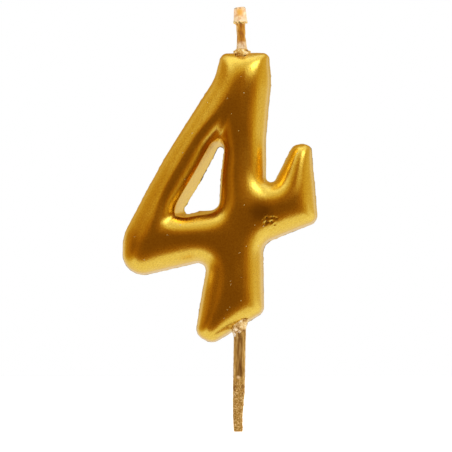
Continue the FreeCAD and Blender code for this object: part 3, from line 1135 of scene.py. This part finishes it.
# The small bright head of a lamp, as a patch that is added to the colour itself.
LAMP_HEAD = (60, 44, 3, 18, 1.8)
TABLE_FROM_Y = -0.52     # the table's near edge, seen downwards
TABLE_TO_Y = -0.16
TABLE_FROM_Z = -0.35
TABLE_TO_Z = -0.65
TABLE_LEVEL = 0.84
BACKDROP = (1, 1, 1)
CAMERA_AZIMUTH = 2.0
CAMERA_ELEVATION = -2.0
CAMERA_DISTANCE = 0.45
CAMERA_TARGET = Vector((-0.0027, 0.0, 0.0195))
VIEW_WIDTH = 0.08624     # metres across the picture at the target
SENSOR_WIDTH = 36
CLIP_START = 0.01
LAMP_DIRECTION = (20, 35)
LAMP_DISTANCE = 0.6
LAMP_SIZE = 0.5
LAMP_WATTS = 0.85
FLOOR_DROP = 0.025       # below the end of the pick
FLOOR_NEAR = 0.8
FLOOR_FAR = 1.2
FLOOR_SIDE = 0.8


def direction(azimuth, elevation):
    """The unit vector that points that way from the candle."""
    a, e = math.radians(azimuth), math.radians(elevation)
    return Vector((math.sin(a) * math.cos(e), -math.cos(a) * math.cos(e), math.sin(e)))


def wall_patch(tree, place, azimuth, elevation, full, end, strength):
    """A strength in one direction of the room, falling to nothing round it."""
    aim = node(tree, "ShaderNodeVectorMath", operation="DOT_PRODUCT")
    aim.inputs[1].default_value = direction(azimuth, elevation)
    tree.links.new(place, aim.inputs[0])
    outer, inner = math.cos(math.radians(end)), math.cos(math.radians(full))
    return remap(tree, aim.outputs["Value"], outer, inner, 0.0, strength)


def make_room():
    """The studio as the lacquer mirrors it, with a plain backdrop for the camera."""
    world = bpy.data.worlds.new("studio")
    bpy.context.scene.world = world
    world.use_nodes = True
    tree = world.node_tree
    place = node(tree, "ShaderNodeTexCoord").outputs["Generated"]
    parts = split(tree, place)
    level = remap(tree, parts["Y"], ROOM_FROM_Y, ROOM_TO_Y, ROOM_DARK, ROOM_DARK + ROOM_RISE)
    for patch in ROOM_PATCHES:
        level = math_node(tree, "ADD", level, wall_patch(tree, place, *patch))
    table = remap(tree, parts["Y"], TABLE_FROM_Y, TABLE_TO_Y, 0.0, TABLE_LEVEL)
    table = product(tree, table, remap(tree, parts["Z"], TABLE_FROM_Z, TABLE_TO_Z))
    level = math_node(tree, "MAXIMUM", level, table)
    head = node(tree, "ShaderNodeVectorMath", operation="SCALE")
    head.inputs[0].default_value = (1, 1, 1)
    tree.links.new(wall_patch(tree, place, *LAMP_HEAD), head.inputs["Scale"])
    lit = node(tree, "ShaderNodeVectorMath", operation="ADD")
    tree.links.new(ramp_node(tree, level, ROOM_TONES), lit.inputs[0])
    tree.links.new(head.outputs[0], lit.inputs[1])
    seen = node(tree, "ShaderNodeLightPath").outputs["Is Camera Ray"]
    colour = blend_colour(tree, seen, lit.outputs[0], BACKDROP)
    tree.links.new(colour, tree.nodes["Background"].inputs["Color"])


def make_camera():
    """The camera at the photograph's viewing angle."""
    data = bpy.data.cameras.new("camera")
    camera = bpy.data.objects.new("camera", data)
    bpy.context.scene.collection.objects.link(camera)
    bpy.context.scene.camera = camera
    away = direction(CAMERA_AZIMUTH, CAMERA_ELEVATION)
    camera.location = CAMERA_TARGET + away * CAMERA_DISTANCE
    camera.rotation_euler = (-away).to_track_quat("-Z", "Y").to_euler()
    data.sensor_width = SENSOR_WIDTH
    data.lens = SENSOR_WIDTH * CAMERA_DISTANCE / VIEW_WIDTH
    data.clip_start = CLIP_START


def make_lamp():
    """A broad soft lamp for the dull pieces; it doesn't show in the lacquer."""
    data = bpy.data.lights.new("soft_lamp", "AREA")
    data.energy = LAMP_WATTS
    data.size = LAMP_SIZE
    lamp = bpy.data.objects.new("soft_lamp", data)
    bpy.context.scene.collection.objects.link(lamp)
    way = direction(*LAMP_DIRECTION)
    lamp.location = CAMERA_TARGET + way * LAMP_DISTANCE
    lamp.rotation_euler = way.to_track_quat("Z", "Y").to_euler()
    lamp.visible_glossy = False
    lamp.visible_camera = False


def make_floor():
    """Plain pale paper below the candle; only the room shows in the lacquer."""
    height = CAD_BOX[0][2] - FLOOR_DROP
    corners = [
        (-FLOOR_SIDE, -FLOOR_NEAR, height),
        (FLOOR_SIDE, -FLOOR_NEAR, height),
        (FLOOR_SIDE, FLOOR_FAR, height),
        (-FLOOR_SIDE, FLOOR_FAR, height),
    ]
    mesh = bpy.data.meshes.new("floor")
    mesh.from_pydata(corners, [], [(0, 1, 2, 3)])
    floor = bpy.data.objects.new("floor", mesh)
    bpy.context.scene.collection.objects.link(floor)
    floor.visible_glossy = False
    paper, _, _ = new_material(
        "paper",
        Base_Color=(0.95, 0.95, 0.95, 1),
        Emission_Color=(1, 1, 1, 1),
        Emission_Strength=0.7,
    )
    mesh.materials.append(paper)


make_room()
make_camera()
make_lamp()
make_floor()
for make, finish in (
    (make_numeral, gold_material),
    (make_wick, wick_material),
    (make_cap, cap_material),
    (make_collar, collar_material),
    (make_pick, pick_material),
    (make_pick_wax, bead_material),
):
    piece = make()
    piece.data.materials.append(finish())
    print(piece.name, sum(len(face.vertices) - 2 for face in piece.data.polygons), "triangles")

bpy.context.scene.view_settings.view_transform = "Standard"
bpy.context.view_layer.update()
